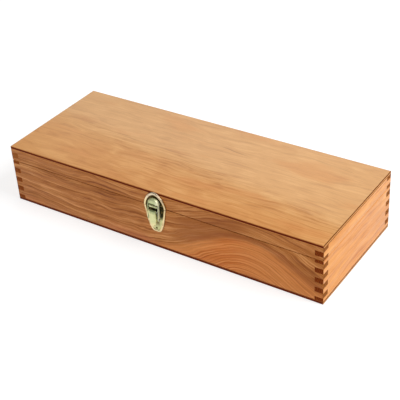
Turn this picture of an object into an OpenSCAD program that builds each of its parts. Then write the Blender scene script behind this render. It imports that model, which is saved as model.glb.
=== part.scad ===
// Shallow finger-jointed wooden box with a hinged lid and a brass toggle latch.
// Millimetres. The origin is the centre of the underside, +Z is up, and the latch faces -Y.

/* [Box] */
// Length of the box, left to right
box_w = 334; // [260:1:420]
// Depth of the box, front to back
box_d = 128; // [110:1:180]
// Height of the closed box
box_h = 60; // [58:1:70]
// Height of the lid, from the parting line to the top face
lid_h = 15.25; // [15:0.25:18]
// Thickness of the solid wood boards
wall = 8; // [7:0.5:10]
// Thickness of the plywood top and bottom panels
ply = 3; // [3:0.5:4]
// Gap between the rims of the lid and the body
rim_gap = 0.4; // [0.2:0.1:0.6]

/* [Finger joints] */
// Width of one finger
finger = 5; // [4:0.5:6]
// Width of the saw cut that parted the lid from the glued carcass
kerf = 3; // [2:0.5:4]

/* [Edges] */
// Radius of the four upright corners
corner_r = 0.6; // [0.5:0.1:2]
// Radius of the top panel's upper edge
top_edge_r = 2.4; // [0.5:0.1:2.6]
// Radius of the bottom panel's lower edge
bottom_edge_r = 0.8; // [0.3:0.1:2]

/* [Hinges] */
// Length of each butt hinge
hinge_len = 30; // [20:1:40]
// Distance from the middle of a hinge to the end of the box
hinge_inset = 62; // [40:1:90]
// Thickness of a hinge leaf
leaf_t = 1.0; // [0.8:0.1:1.2]
// Outer radius of the hinge barrel
barrel_r = 2.0; // [1.8:0.1:2.4]
// Radius of the hinge pin
hinge_pin_r = 1.0; // [0.8:0.1:1.1]

/* [Latch] */
// Distance of the latch's middle to the right of the box's middle
latch_x = 1.3; // [-5:0.1:5]
// Half the width of the latch plates
plate_a = 11.6; // [11:0.1:13]
// Height of the strike plate above the parting line
strike_b = 15.0; // [14:0.1:15]
// Depth of the base plate below the parting line
base_b = 26.0; // [24:0.1:28]
// Thickness of the latch's sheet metal
sheet = 0.8; // [0.6:0.1:1]
// Width of the raised rim round the plates
rim_w = 2.0; // [1.5:0.1:2.5]
// Height of the raised rim above the wood
rim_h = 1.5; // [1.2:0.1:2]
// Length of the lever's thumb plate
lever_len = 14.5; // [14:0.5:18]
// Width of the lever's thumb plate at its top
lever_w = 7.8; // [7.6:0.2:9.4]

/* [Hidden] */
eps = 0.01;
$fn = 48;

wood_front = [0.66, 0.40, 0.23];
wood_side = [0.80, 0.54, 0.33];
wood_panel = [0.84, 0.62, 0.40];
brass = [0.86, 0.80, 0.56];
steel = [0.72, 0.72, 0.70];

// Heights of the box's levels
part_z = box_h - lid_h;
body_rim_z = part_z - rim_gap / 2;
lid_rim_z = part_z + rim_gap / 2;

// The carcass is glued up whole, and the saw then takes one kerf out of it
carcass_h = box_h - 2 * ply + kerf;
whole_fingers = 2 * floor((carcass_h - finger) / (2 * finger));
edge_finger = (carcass_h - whole_fingers * finger) / 2;
last_finger = whole_fingers + 1;

// Height in the carcass at which finger i starts; the outermost ones run past its edges
function finger_start(i) =
  i == 0 ? -1
  : i > last_finger ? carcass_h + 1
  : edge_finger + (i - 1) * finger;

// Hinge
hinge_x = box_w / 2 - hinge_inset;
barrel_gap = 0.3;
barrel_y = box_d / 2 + barrel_r + barrel_gap;
leaf_depth = wall - 0.9;
knuckles = 5;
knuckle_len = hinge_len / knuckles;
knuckle_gap = 0.2;
hinge_bore_r = hinge_pin_r + 0.05;
mortise_gap = 0.1;
hinge_screw_x = 0.3 * hinge_len;
hinge_screw_y = box_d / 2 - 4;
screw_len = 9;
screw_r = 0.9;
screw_head_r = 1.8;
screw_head_h = 0.9;
screw_sink = 0.05;
slot_w = 0.45;
slot_h = 0.4;

// Latch sizes in the plane of the front board: "out" is a distance from the wood, and "up" is a
// height from the parting line
strike_n = 1.75;
base_n = 4;
base_taper = 4.6;
strike_end_rim = 1.0;
outline_step = 6;
latch_gap = 0.3;
latch_pin_r = 0.8;
pin_fit = 0.03;
pin_running = 0.06;
lug_r = 1.5;
lug_x = 2.9;
ear_x = lug_x - latch_gap - sheet;
arm_x = 5.0;

// The lever turns on a pin in the base plate's ears, and closed it is a little past dead centre
pivot_out = 3.7;
pivot_up = -2.95;
link_out = 3.4;
link_up = -10.75;
lever_top = -1.15;
lever_back = pivot_out + lug_r + latch_gap;
lever_out = lever_back + sheet;
lever_taper = 0.8;
lever_corner_r = 1.2;
// The lever's top edge turns in over the pin: outer points as [radius, angle] about the pin, which
// pass clear of the base plate's ears when the lever is fully open
lever_heel = [[3.16, 34.7], [2.87, 45], [2.69, 55], [2.6, 65]];
tip_w = 3.2;
tip_len = 2.2;

// The link's hood closes over the tongue of the strike plate's hook
hood_back = 3.8;
hood_foot = 1.2;
hood_inner_top = strike_b - rim_w - strike_end_rim - sheet - 2;
hood_start = 4.7;
hood_round = 1.0;
hook_w = 8.4;
roll_r = 1.6;
roll_out = 2.6;
roll_up = 1.9;
tongue_out = hood_back - latch_gap;
tongue_top = hood_inner_top - 0.4;
tongue_chamfer = 0.4;
nail_head_r = 1.1;
nail_head_h = 0.45;
nail_r = 0.5;
nail_len = 6;
nail_fit = 0.04;
strike_nails = [[-7.3, 3.4], [7.3, 3.4]];
base_nails = [[-7.1, -3.6], [7.1, -3.6], [0, -22.4]];

// ---------------------------------------------------------------- shared shapes

// Outline of the box seen from above, with its upright corners rounded
module box_outline() {
  polygon([
    for (q = [0:3], a = [0:15:90])
      let (sx = q == 0 || q == 3 ? 1 : -1, sy = q < 2 ? 1 : -1, turn = q * 90 + a)
      [sx * (box_w / 2 - corner_r) + corner_r * cos(turn),
       sy * (box_d / 2 - corner_r) + corner_r * sin(turn)]
  ]);
}

// A bar's end view, w wide and ply high, with its two upper edges rounded to r
module eased_profile(w, r) {
  polygon(concat(
    [[-w / 2, 0], [w / 2, 0]],
    [for (a = [0:15:90]) [w / 2 - r + r * cos(a), ply - r + r * sin(a)]],
    [for (a = [90:15:180]) [-w / 2 + r + r * cos(a), ply - r + r * sin(a)]]
  ));
}

// A plywood panel lying on z = 0, with its upper edges rounded to r
module panel(r) {
  intersection() {
    translate([0, box_d / 2, 0]) rotate([90, 0, 0]) linear_extrude(box_d) eased_profile(box_w, r);
    translate([-box_w / 2, 0, 0]) rotate([90, 0, 90]) linear_extrude(box_w) eased_profile(box_d, r);
    linear_extrude(ply) box_outline();
  }
}

// A board of the carcass along X, centred on the origin, between heights z0 and z1.
// It loses the fingers of the given parity, which belong to the boards it meets.
module finger_board(length, z0, z1, carcass_z, parity) {
  difference() {
    translate([-length / 2, -wall / 2, z0]) cube([length, wall, z1 - z0]);
    for (i = [parity:2:last_finger], side = [-1, 1])
      translate([
        side * (length / 2 - wall / 2 + 0.5) - wall / 2 - 0.5,
        -wall / 2 - 1,
        carcass_z + finger_start(i)
      ]) cube([wall + 1, wall + 2, finger_start(i + 1) - finger_start(i)]);
  }
}

// The two kinds of board of one storey, body or lid, in place and with rounded corners
module long_board(y_side, z0, z1, carcass_z) {
  intersection() {
    translate([0, y_side * (box_d - wall) / 2, 0]) finger_board(box_w, z0, z1, carcass_z, 0);
    linear_extrude(box_h) box_outline();
  }
}

module short_board(x_side, z0, z1, carcass_z) {
  intersection() {
    translate([x_side * (box_w - wall) / 2, 0, 0]) rotate([0, 0, 90])
      finger_board(box_d, z0, z1, carcass_z, 1);
    linear_extrude(box_h) box_outline();
  }
}

// Mirrors what belongs to the body across the parting plane, for its twin on the lid
module mirrored_to_lid() {
  translate([0, 0, part_z]) mirror([0, 0, 1]) translate([0, 0, -part_z]) children();
}

// ---------------------------------------------------------------- hinge hardware

module at_hinge_screws() {
  for (hinge = [-1, 1], screw = [-1, 1])
    translate([hinge * hinge_x + screw * hinge_screw_x, hinge_screw_y, body_rim_z - screw_sink])
      children();
}

// A countersunk cross-head screw pointing down, with its head's top at z = 0
module countersunk_screw() {
  difference() {
    union() {
      translate([0, 0, -screw_head_h]) cylinder(h = screw_head_h, r1 = screw_r, r2 = screw_head_r);
      translate([0, 0, -screw_len + 2]) cylinder(h = screw_len - 2 - screw_head_h + eps, r = screw_r);
      translate([0, 0, -screw_len]) cylinder(h = 2 + eps, r1 = 0.2, r2 = screw_r);
    }
    for (turn = [0, 90]) rotate([0, 0, turn])
      translate([-1.1, -slot_w / 2, -slot_h]) cube([2.2, slot_w, slot_h + 1]);
  }
}

// What a screw takes out of the leaf and the board
module screw_clearance() {
  translate([0, 0, -screw_head_h - 0.1])
    cylinder(h = screw_head_h + 0.2, r1 = screw_r + 0.1, r2 = screw_head_r + 0.25);
  translate([0, 0, -screw_len - 0.3]) cylinder(h = screw_len, r = screw_r + 0.06);
}

module hinge_mortises() {
  for (hinge = [-1, 1])
    translate([
      hinge * hinge_x - hinge_len / 2 - mortise_gap,
      box_d / 2 - leaf_depth - mortise_gap,
      body_rim_z - leaf_t - mortise_gap / 2
    ]) cube([hinge_len + 2 * mortise_gap, leaf_depth + 2, leaf_t + 2]);
}

// One leaf of a hinge with its knuckles, lying in the body's mortise. first is 0 or 1.
module hinge_leaf(x, first) {
  translate([x, 0, 0]) difference() {
    union() {
      translate([-hinge_len / 2, box_d / 2 - leaf_depth, body_rim_z - leaf_t])
        cube([hinge_len, leaf_depth, leaf_t]);
      for (k = [first:2:knuckles - 1])
        translate([-hinge_len / 2 + k * knuckle_len + knuckle_gap / 2, 0, 0]) {
          translate([0, barrel_y, part_z]) rotate([0, 90, 0])
            cylinder(h = knuckle_len - knuckle_gap, r = barrel_r);
          translate([0, box_d / 2 - 1, body_rim_z - leaf_t])
            cube([knuckle_len - knuckle_gap, barrel_y - box_d / 2 + 1, leaf_t]);
        }
    }
    translate([-hinge_len, barrel_y, part_z]) rotate([0, 90, 0])
      cylinder(h = 2 * hinge_len, r = hinge_bore_r);
    for (screw = [-1, 1])
      translate([screw * hinge_screw_x, hinge_screw_y, body_rim_z - screw_sink]) screw_clearance();
  }
}

module hinge_pin(x) {
  translate([x - hinge_len / 2 - 0.4, barrel_y, part_z]) rotate([0, 90, 0])
    cylinder(h = hinge_len + 0.8, r = hinge_pin_r);
}

// ---------------------------------------------------------------- latch hardware

// Puts a shape drawn with x across, y up from the parting line and z out of the wood onto the front
module on_front() {
  translate([latch_x, -box_d / 2, part_z]) rotate([90, 0, 0]) children();
}

// A cylinder along X at a place given by its distance out from the wood and its height
module cross_pin(out, up, r, x0, x1) {
  translate([x0, up, out]) rotate([0, 90, 0]) cylinder(h = x1 - x0, r = r);
}

// Half an oval of half-width a and height b, standing on y = start, squarer as n grows.
// It narrows by taper on each side towards its end.
module half_oval(a, b, n, start, taper = 0) {
  polygon(concat(
    [[a, start]],
    [for (t = [0:outline_step:180])
      let (c = cos(t), rise = pow(sin(t), 2 / n))
      [sign(c) * (a - taper * rise) * pow(abs(c), 2 / n), start + (b - start) * rise]],
    [[-a, start]]
  ));
}

// A stamped plate with a raised rim, open along its straight edge. The rim widens by end_rim.
module rimmed_plate(b, n, taper, end_rim) {
  difference() {
    linear_extrude(rim_h) half_oval(plate_a, b, n, rim_gap / 2, taper);
    translate([0, 0, sheet]) linear_extrude(rim_h)
      half_oval(plate_a - rim_w, b - rim_w - end_rim, n, rim_gap / 2 - 1, taper);
  }
}

module nails(places) {
  for (p = places) translate([p[0], p[1], sheet]) {
    cylinder(h = nail_head_h, r1 = nail_head_r, r2 = 0.7 * nail_head_r);
    translate([0, 0, -nail_len]) cylinder(h = nail_len + eps, r = nail_r);
  }
}

module nail_holes(places) {
  for (p = places) translate([p[0], p[1], -nail_len]) cylinder(h = nail_len + 3, r = nail_r + nail_fit);
}

// A flat shape drawn in side view, as [out, up], standing across x from x0 to x0 + x_wide
module side_sheet(x0, x_wide) {
  translate([x0, 0, 0]) rotate([0, -90, 0]) mirror([0, 0, 1]) linear_extrude(x_wide) children();
}

module on_both_sides() {
  for (side = [0, 1]) mirror([side, 0, 0]) children();
}

// The hood's shell without its hollow: the hollow itself grown all round by grow
module hood_block(grow) {
  half = arm_x + grow;
  top = hood_inner_top + grow;
  out = hood_back + grow;
  r = hood_round + grow;
  shoulder = hood_inner_top - 5.4;
  intersection() {
    linear_extrude(out) union() {
      half_oval(half, top, 2.2, shoulder);
      translate([-half, hood_start - 1]) square([2 * half, shoulder - hood_start + 1 + eps]);
    }
    side_sheet(-half, 2 * half) polygon(concat(
      [[-1, hood_start - 1], [out, hood_start - 1]],
      [for (a = [0:15:90]) [out - r + r * cos(a), top - r + r * sin(a)]],
      [[-1, top]]
    ));
    translate([0, top, 0]) rotate([90, 0, 0]) linear_extrude(top - hood_start + 1) polygon(concat(
      [[half, -1]],
      [for (a = [0:15:90]) [half - r + r * cos(a), out - r + r * sin(a)]],
      [for (a = [90:15:180]) [-half + r + r * cos(a), out - r + r * sin(a)]],
      [[-half, -1]]
    ));
  }
}

// Outline of the lever's thumb plate: tapered, round-cornered, with a small tip in the middle
module thumb_outline() {
  foot = lever_top - lever_len;
  half_top = lever_w / 2;
  half_foot = half_top - lever_taper;
  polygon(concat(
    [[half_top, lever_top]],
    [for (a = [0:-15:-90])
      [half_foot - lever_corner_r * (1 - cos(a)), foot + lever_corner_r * (1 + sin(a))]],
    [for (a = [0:-15:-180]) [tip_w / 2 * cos(a), foot - tip_len + tip_w / 2 + tip_w / 2 * sin(a)]],
    [for (a = [-90:-15:-180])
      [-half_foot + lever_corner_r * (1 + cos(a)), foot + lever_corner_r * (1 + sin(a))]],
    [[-half_top, lever_top]]
  ));
}

// ---------------------------------------------------------------- body

module body_front_board() {
  color(wood_front) difference() {
    long_board(-1, ply, body_rim_z, ply);
    on_front() nail_holes(base_nails);
  }
}

module body_back_board() {
  color(wood_front) difference() {
    long_board(1, ply, body_rim_z, ply);
    hinge_mortises();
    at_hinge_screws() screw_clearance();
  }
}

module body_left_board() { color(wood_side) short_board(-1, ply, body_rim_z, ply); }

module body_right_board() { color(wood_side) short_board(1, ply, body_rim_z, ply); }

module bottom_panel() {
  color(wood_panel) translate([0, 0, ply]) mirror([0, 0, 1]) panel(bottom_edge_r);
}

// ---------------------------------------------------------------- lid

module lid_front_board() {
  color(wood_front) difference() {
    long_board(-1, lid_rim_z, box_h - ply, ply - kerf);
    on_front() nail_holes(strike_nails);
  }
}

module lid_back_board() {
  color(wood_front) difference() {
    long_board(1, lid_rim_z, box_h - ply, ply - kerf);
    mirrored_to_lid() {
      hinge_mortises();
      at_hinge_screws() screw_clearance();
    }
  }
}

module lid_left_board() { color(wood_side) short_board(-1, lid_rim_z, box_h - ply, ply - kerf); }

module lid_right_board() { color(wood_side) short_board(1, lid_rim_z, box_h - ply, ply - kerf); }

module top_panel() { color(wood_panel) translate([0, 0, box_h - ply]) panel(top_edge_r); }

// ---------------------------------------------------------------- hinges

module left_hinge_body_leaf() { color(brass) hinge_leaf(-hinge_x, 0); }

module left_hinge_lid_leaf() { color(brass) mirrored_to_lid() hinge_leaf(-hinge_x, 1); }

module left_hinge_pin() { color(steel) hinge_pin(-hinge_x); }

module right_hinge_body_leaf() { color(brass) hinge_leaf(hinge_x, 0); }

module right_hinge_lid_leaf() { color(brass) mirrored_to_lid() hinge_leaf(hinge_x, 1); }

module right_hinge_pin() { color(steel) hinge_pin(hinge_x); }

module hinge_body_screws() { color(brass) at_hinge_screws() countersunk_screw(); }

module hinge_lid_screws() { color(brass) mirrored_to_lid() at_hinge_screws() countersunk_screw(); }

// ---------------------------------------------------------------- latch

// Plate on the body, with two ears that hold the lever's pin
module latch_base_plate() {
  color(brass) on_front() difference() {
    union() {
      mirror([0, 1, 0]) rimmed_plate(base_b, base_n, base_taper, 0);
      on_both_sides() side_sheet(ear_x, sheet) {
        polygon([
          [sheet / 2, pivot_up - 5.8], [sheet / 2, pivot_up - 2],
          [pivot_out - 0.81 * lug_r, pivot_up + 0.587 * lug_r],
          [pivot_out + 0.616 * lug_r, pivot_up - 0.788 * lug_r]
        ]);
        translate([pivot_out, pivot_up]) circle(lug_r);
      }
    }
    cross_pin(pivot_out, pivot_up, latch_pin_r + pin_fit, -plate_a, plate_a);
    nail_holes(base_nails);
  }
}

module latch_base_nails() { color(brass) on_front() nails(base_nails); }

// Plate on the lid, with a hook: it bends out in a roll, and its tongue turns up under the hood
module latch_strike_plate() {
  color(brass) on_front() difference() {
    union() {
      rimmed_plate(strike_b, strike_n, 0, strike_end_rim);
      intersection() {
        side_sheet(-hook_w / 2, hook_w) polygon(concat(
          [[sheet / 2, roll_up - roll_r]],
          [for (a = [-90:15:30]) [roll_out + roll_r * cos(a), roll_up + roll_r * sin(a)]],
          [[tongue_out, roll_up + 1.7], [tongue_out, tongue_top - tongue_chamfer],
           [tongue_out - tongue_chamfer, tongue_top], [tongue_out - sheet, tongue_top],
           [tongue_out - sheet, roll_up + 1.4]],
          [for (a = [30:-15:-90])
            [roll_out + (roll_r - sheet) * cos(a), roll_up + (roll_r - sheet) * sin(a)]],
          [[sheet / 2, roll_up - roll_r + sheet]]
        ));
        linear_extrude(2 * hood_back) union() {
          half_oval(arm_x - 0.4, tongue_top, 2.2, hood_inner_top - 5.4);
          translate([-arm_x, 0]) square([2 * arm_x, hood_inner_top - 5.4 + eps]);
        }
      }
    }
    nail_holes(strike_nails);
  }
}

module latch_strike_nails() { color(brass) on_front() nails(strike_nails); }

// Thumb plate with two lugs that turn on the lever pin and carry the link pin
module latch_lever() {
  color(brass) on_front() difference() {
    union() {
      translate([0, 0, lever_back]) linear_extrude(sheet) thumb_outline();
      on_both_sides() side_sheet(lug_x, sheet) {
        polygon([
          [pivot_out, pivot_up + lug_r], [lever_back + sheet / 2, pivot_up + lug_r],
          [lever_back + sheet / 2, link_up - lug_r], [link_out, link_up - lug_r],
          [link_out - lug_r, link_up], [pivot_out - lug_r, pivot_up]
        ]);
        translate([pivot_out, pivot_up]) circle(lug_r);
        translate([link_out, link_up]) circle(lug_r);
      }
      side_sheet(-lug_x - sheet, 2 * (lug_x + sheet)) polygon([
        for (inset = [0, 1], i = [0:3])
          let (p = lever_heel[inset == 0 ? i : 3 - i], r = p[0] - inset * sheet)
          [pivot_out + r * cos(p[1]), pivot_up + r * sin(p[1])]
      ]);
    }
    cross_pin(pivot_out, pivot_up, latch_pin_r + pin_running, -plate_a, plate_a);
    cross_pin(link_out, link_up, latch_pin_r + pin_fit, -plate_a, plate_a);
  }
}

module latch_lever_pin() {
  half = lug_x + sheet + 0.4;
  color(steel) on_front() cross_pin(pivot_out, pivot_up, latch_pin_r, -half, half);
}

// Loop with a hood for the hook's tongue, a window for its roll, and two arms down to the link pin
module latch_link() {
  color(brass) on_front() difference() {
    union() {
      difference() {
        hood_block(sheet);
        hood_block(0);
        translate([-plate_a, -plate_a + hood_start, -1]) cube([2 * plate_a, plate_a, 2 * plate_a]);
        translate([-plate_a, 0, hood_foot - 5]) cube([2 * plate_a, plate_a, 5]);
      }
      on_both_sides() side_sheet(arm_x, sheet) {
        polygon([
          [hood_foot, hood_start + 0.8], [link_out - lug_r, link_up], [link_out + lug_r, link_up],
          [hood_back - 0.2, hood_start - 1], [hood_back - 0.2, hood_start + 0.8]
        ]);
        translate([link_out, link_up]) circle(lug_r);
      }
    }
    cross_pin(link_out, link_up, latch_pin_r + pin_running, -plate_a, plate_a);
  }
}

module latch_link_pin() {
  half = arm_x + sheet + 0.15;
  head = 0.45;
  color(steel) on_front() {
    cross_pin(link_out, link_up, latch_pin_r, -half, half);
    for (x0 = [-half - head, half]) cross_pin(link_out, link_up, 1.5 * latch_pin_r, x0, x0 + head);
  }
}

// ---------------------------------------------------------------- assembly

body_front_board();
body_back_board();
body_left_board();
body_right_board();
bottom_panel();
lid_front_board();
lid_back_board();
lid_left_board();
lid_right_board();
top_panel();
left_hinge_body_leaf();
left_hinge_lid_leaf();
left_hinge_pin();
right_hinge_body_leaf();
right_hinge_lid_leaf();
right_hinge_pin();
hinge_body_screws();
hinge_lid_screws();
latch_base_plate();
latch_base_nails();
latch_strike_plate();
latch_strike_nails();
latch_lever();
latch_lever_pin();
latch_link();
latch_link_pin();
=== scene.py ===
import math

import bmesh
import bpy
from mathutils import Matrix, Vector


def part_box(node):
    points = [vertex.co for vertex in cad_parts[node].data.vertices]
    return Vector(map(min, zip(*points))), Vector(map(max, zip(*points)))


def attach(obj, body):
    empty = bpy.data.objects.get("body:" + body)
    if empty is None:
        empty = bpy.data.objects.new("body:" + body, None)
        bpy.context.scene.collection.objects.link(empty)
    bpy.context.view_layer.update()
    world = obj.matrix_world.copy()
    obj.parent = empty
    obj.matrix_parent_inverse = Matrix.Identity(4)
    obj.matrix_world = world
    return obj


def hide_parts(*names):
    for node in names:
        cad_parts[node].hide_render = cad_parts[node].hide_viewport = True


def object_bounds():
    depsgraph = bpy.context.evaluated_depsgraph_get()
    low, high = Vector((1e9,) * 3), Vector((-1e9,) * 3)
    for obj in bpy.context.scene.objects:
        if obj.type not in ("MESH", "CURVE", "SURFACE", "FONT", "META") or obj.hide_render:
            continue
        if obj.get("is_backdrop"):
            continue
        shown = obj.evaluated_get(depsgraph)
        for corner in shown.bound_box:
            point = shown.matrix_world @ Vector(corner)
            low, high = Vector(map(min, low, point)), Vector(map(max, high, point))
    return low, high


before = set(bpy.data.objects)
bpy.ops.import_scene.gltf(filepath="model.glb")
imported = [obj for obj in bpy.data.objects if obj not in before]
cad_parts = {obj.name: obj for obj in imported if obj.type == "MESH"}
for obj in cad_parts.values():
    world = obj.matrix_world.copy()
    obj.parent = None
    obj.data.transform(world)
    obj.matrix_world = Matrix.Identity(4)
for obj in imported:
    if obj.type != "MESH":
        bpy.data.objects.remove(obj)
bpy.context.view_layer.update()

# ------------------------------------------------------------------ sizes, in millimetres
# X runs along the box, Y to its back and Z up, from the middle of its underside.
MM = 0.001


def mm_box(node):
    """A CAD node's lowest and highest corners, in millimetres."""
    low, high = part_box(node)
    return [c / MM for c in low], [c / MM for c in high]


top_low, top_high = mm_box("top_panel")
body_low, body_high = mm_box("body_front_board")
lid_low, _ = mm_box("lid_front_board")
HALF_W, HALF_D, BOX_H = top_high[0], top_high[1], top_high[2]
PLY = top_high[2] - top_low[2]
WALL = body_high[1] - body_low[1]
BODY_RIM, LID_RIM = body_high[2], lid_low[2]
PART_Z = (BODY_RIM + LID_RIM) / 2
RIM_GAP = LID_RIM - BODY_RIM
FINGER, KERF = 5.0, 3.0
CORNER_R, TOP_R, BOTTOM_R = 0.6, 2.4, 0.8
EDGE_R, PANEL_EDGE_R = 0.16, 0.12
MORTISE_PLAY, MORTISE_DEEP, MORTISE_PAST = 0.1, 1.05, 5

CARCASS_H = BOX_H - 2 * PLY + KERF
WHOLE_FINGERS = 2 * math.floor((CARCASS_H - FINGER) / (2 * FINGER))
EDGE_FINGER = (CARCASS_H - WHOLE_FINGERS * FINGER) / 2


# ------------------------------------------------------------------ mesh helpers


def finish_mesh(name, bm, materials, index_of=None, smooth_angle=None):
    """Turns a bmesh in millimetres into an object in metres, with a material per face."""
    bmesh.ops.recalc_face_normals(bm, faces=bm.faces)
    bm.normal_update()
    if index_of:
        for f in bm.faces:
            f.material_index = index_of(f)
    bmesh.ops.scale(bm, vec=(MM, MM, MM), verts=bm.verts)
    mesh = bpy.data.meshes.new(name)
    bm.to_mesh(mesh)
    bm.free()
    for m in materials:
        mesh.materials.append(m)
    if smooth_angle is not None:
        mesh.polygons.foreach_set("use_smooth", [True] * len(mesh.polygons))
        mesh.set_sharp_from_angle(angle=math.radians(smooth_angle))
    obj = bpy.data.objects.new(name, mesh)
    bpy.context.scene.collection.objects.link(obj)
    return obj


def place(obj, body, slot, *nodes):
    """Makes obj ride on body and stand for the CAD nodes, which it hides. slot is not used."""
    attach(obj, body)
    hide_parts(*nodes)


def prism(bm, points, to_3d, low, high):
    """Adds the closed polygon points, swept from low to high. to_3d turns (a, b, depth) into a
    place."""
    near = [bm.verts.new(to_3d(a, b, low)) for a, b in points]
    far = [bm.verts.new(to_3d(a, b, high)) for a, b in points]
    n = len(points)
    bm.faces.new(near)
    bm.faces.new(far[::-1])
    for i in range(n):
        j = (i + 1) % n
        bm.faces.new((near[j], near[i], far[i], far[j]))


def soften(bm, radius, segments=2, angle=30.0, only=None):
    """Rounds every edge sharper than angle, or only those that the test only(edge) picks."""
    bm.normal_update()
    edges = [
        e
        for e in bm.edges
        if len(e.link_faces) == 2
        and math.degrees(e.calc_face_angle(0.0)) > angle
        and (only is None or only(e))
    ]
    bmesh.ops.bevel(
        bm, geom=edges, offset=radius, segments=segments, profile=0.5,
        affect="EDGES", clamp_overlap=True,
    )


def lathe(bm, profile, to_3d, steps=28):
    """Adds a solid turned about an axis. profile is [(radius, distance along)], from one end to the
    other, and to_3d turns (a, b, distance along) into a place."""
    turns = [2 * math.pi * k / steps for k in range(steps)]
    rings = []
    for r, t in profile:
        if r < 1e-6:
            rings.append([bm.verts.new(to_3d(0, 0, t))])
        else:
            rings.append([bm.verts.new(to_3d(r * math.cos(a), r * math.sin(a), t)) for a in turns])
    for a, b in zip(rings, rings[1:]):
        for k in range(steps):
            m = (k + 1) % steps
            if len(a) == 1:
                bm.faces.new((a[0], b[k], b[m]))
            elif len(b) == 1:
                bm.faces.new((a[k], b[0], a[m]))
            else:
                bm.faces.new((a[k], b[k], b[m], a[m]))
    for ring in (rings[0], rings[-1]):
        if len(ring) > 1:
            bm.faces.new(ring)


# ------------------------------------------------------------------ node helpers

# A Mix node has sockets for every kind of value. These are the share and the two colours.
MIX_COLOUR_INPUTS, MIX_COLOUR_OUTPUT = (0, 6, 7), 2


class Nodes:
    """A short way to write a material's nodes. A socket or a number goes in anywhere."""

    def __init__(self, name):
        self.material = bpy.data.materials.new(name)
        self.material.use_nodes = True
        self.tree = self.material.node_tree
        self.tree.nodes.clear()
        self.out = self.tree.nodes.new("ShaderNodeOutputMaterial")
        self.shader = self.tree.nodes.new("ShaderNodeBsdfPrincipled")
        self.tree.links.new(self.shader.outputs[0], self.out.inputs[0])

    def put(self, socket, value):
        if isinstance(value, bpy.types.NodeSocket):
            self.tree.links.new(value, socket)
        elif value is not None:
            if socket.type == "RGBA" and len(value) == 3:
                value = (*value, 1.0)
            socket.default_value = value

    def math(self, operation, a, b=None):
        n = self.tree.nodes.new("ShaderNodeMath")
        n.operation = operation
        for socket, value in zip(n.inputs, (a, b)):
            self.put(socket, value)
        return n.outputs[0]

    def add(self, a, b):
        return self.math("ADD", a, b)

    def sub(self, a, b):
        return self.math("SUBTRACT", a, b)

    def mul(self, a, b, *more):
        product = self.math("MULTIPLY", a, b)
        return self.mul(product, *more) if more else product

    def size_of(self, a):
        return self.math("ABSOLUTE", a)

    def larger(self, a, b):
        return self.math("MAXIMUM", a, b)

    def wave(self, turns):
        """A sine from 0 to 1, eased."""
        return self.step(self.math("SINE", turns), -1.0, 1.0)

    def step(self, value, low, high):
        """Climbs smoothly from 0 at low to 1 at high. Where low is the larger, it falls instead."""
        n = self.tree.nodes.new("ShaderNodeMapRange")
        n.interpolation_type = "SMOOTHSTEP"
        for key, v in (("Value", value), ("From Min", low), ("From Max", high)):
            self.put(n.inputs[key], v)
        return n.outputs[0]

    def coords(self):
        """The place in millimetres, in the model's frame at rest: (vector, x, y, z)."""
        t = self.tree.nodes.new("ShaderNodeTexCoord")
        s = self.tree.nodes.new("ShaderNodeVectorMath")
        s.operation = "SCALE"
        self.tree.links.new(t.outputs["Object"], s.inputs[0])
        s.inputs["Scale"].default_value = 1 / MM
        x = self.tree.nodes.new("ShaderNodeSeparateXYZ")
        self.tree.links.new(s.outputs[0], x.inputs[0])
        return s.outputs[0], x.outputs[0], x.outputs[1], x.outputs[2]

    def vector(self, x, y, z):
        n = self.tree.nodes.new("ShaderNodeCombineXYZ")
        for socket, value in zip(n.inputs, (x, y, z)):
            self.put(socket, value)
        return n.outputs[0]

    def noise(self, vector, scale=1.0, detail=3.0, roughness=0.5, distortion=0.0):
        n = self.tree.nodes.new("ShaderNodeTexNoise")
        self.put(n.inputs["Vector"], vector)
        self.put(n.inputs["Scale"], scale)
        self.put(n.inputs["Detail"], detail)
        self.put(n.inputs["Roughness"], roughness)
        self.put(n.inputs["Distortion"], distortion)
        return n.outputs["Fac"]

    def ramp(self, value, stops):
        n = self.tree.nodes.new("ShaderNodeValToRGB")
        n.color_ramp.interpolation = "EASE"
        while len(n.color_ramp.elements) < len(stops):
            n.color_ramp.elements.new(0.5)
        for e, (at, colour) in zip(n.color_ramp.elements, stops):
            e.position = at
            e.color = (*colour, 1.0)
        self.put(n.inputs[0], value)
        return n.outputs[0]

    def mix(self, share, a, b):
        """Colour a, with a share of colour b."""
        n = self.tree.nodes.new("ShaderNodeMix")
        n.data_type = "RGBA"
        n.clamp_factor = True
        for at, value in zip(MIX_COLOUR_INPUTS, (share, a, b)):
            self.put(n.inputs[at], value)
        return n.outputs[MIX_COLOUR_OUTPUT]

    def bump(self, height, strength, distance, onto=None):
        n = self.tree.nodes.new("ShaderNodeBump")
        self.put(n.inputs["Height"], height)
        n.inputs["Strength"].default_value = strength
        n.inputs["Distance"].default_value = distance
        if onto is not None:
            self.tree.links.new(onto, n.inputs["Normal"])
        return n.outputs[0]

    def set(self, **values):
        """Sets the shader's sockets by name, and gives the material."""
        for key, value in values.items():
            self.put(self.shader.inputs[key.replace("_", " ")], value)
        return self.material


def srgb(r, g, b):
    """A colour given in display values from 0 to 255, as the linear one that nodes want."""
    return tuple(
        c / 255 / 12.92 if c / 255 <= 0.04045 else ((c / 255 + 0.055) / 1.055) ** 2.4
        for c in (r, g, b)
    )


def times(colour, share):
    return tuple(c * share for c in colour)


# ------------------------------------------------------------------ wood


def edge_wear(n, x, y, z, width=1.6):
    """1 along the box's outer edges, 0 elsewhere."""
    near_x = n.step(n.size_of(x), HALF_W - width, HALF_W)
    near_y = n.step(n.size_of(y), HALF_D - width, HALF_D)
    near_z = n.larger(n.step(z, BOX_H - width, BOX_H), n.step(z, width, 0.0))
    return n.larger(
        n.larger(n.mul(near_x, near_y), n.mul(near_y, near_z)), n.mul(near_x, near_z)
    )


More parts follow.
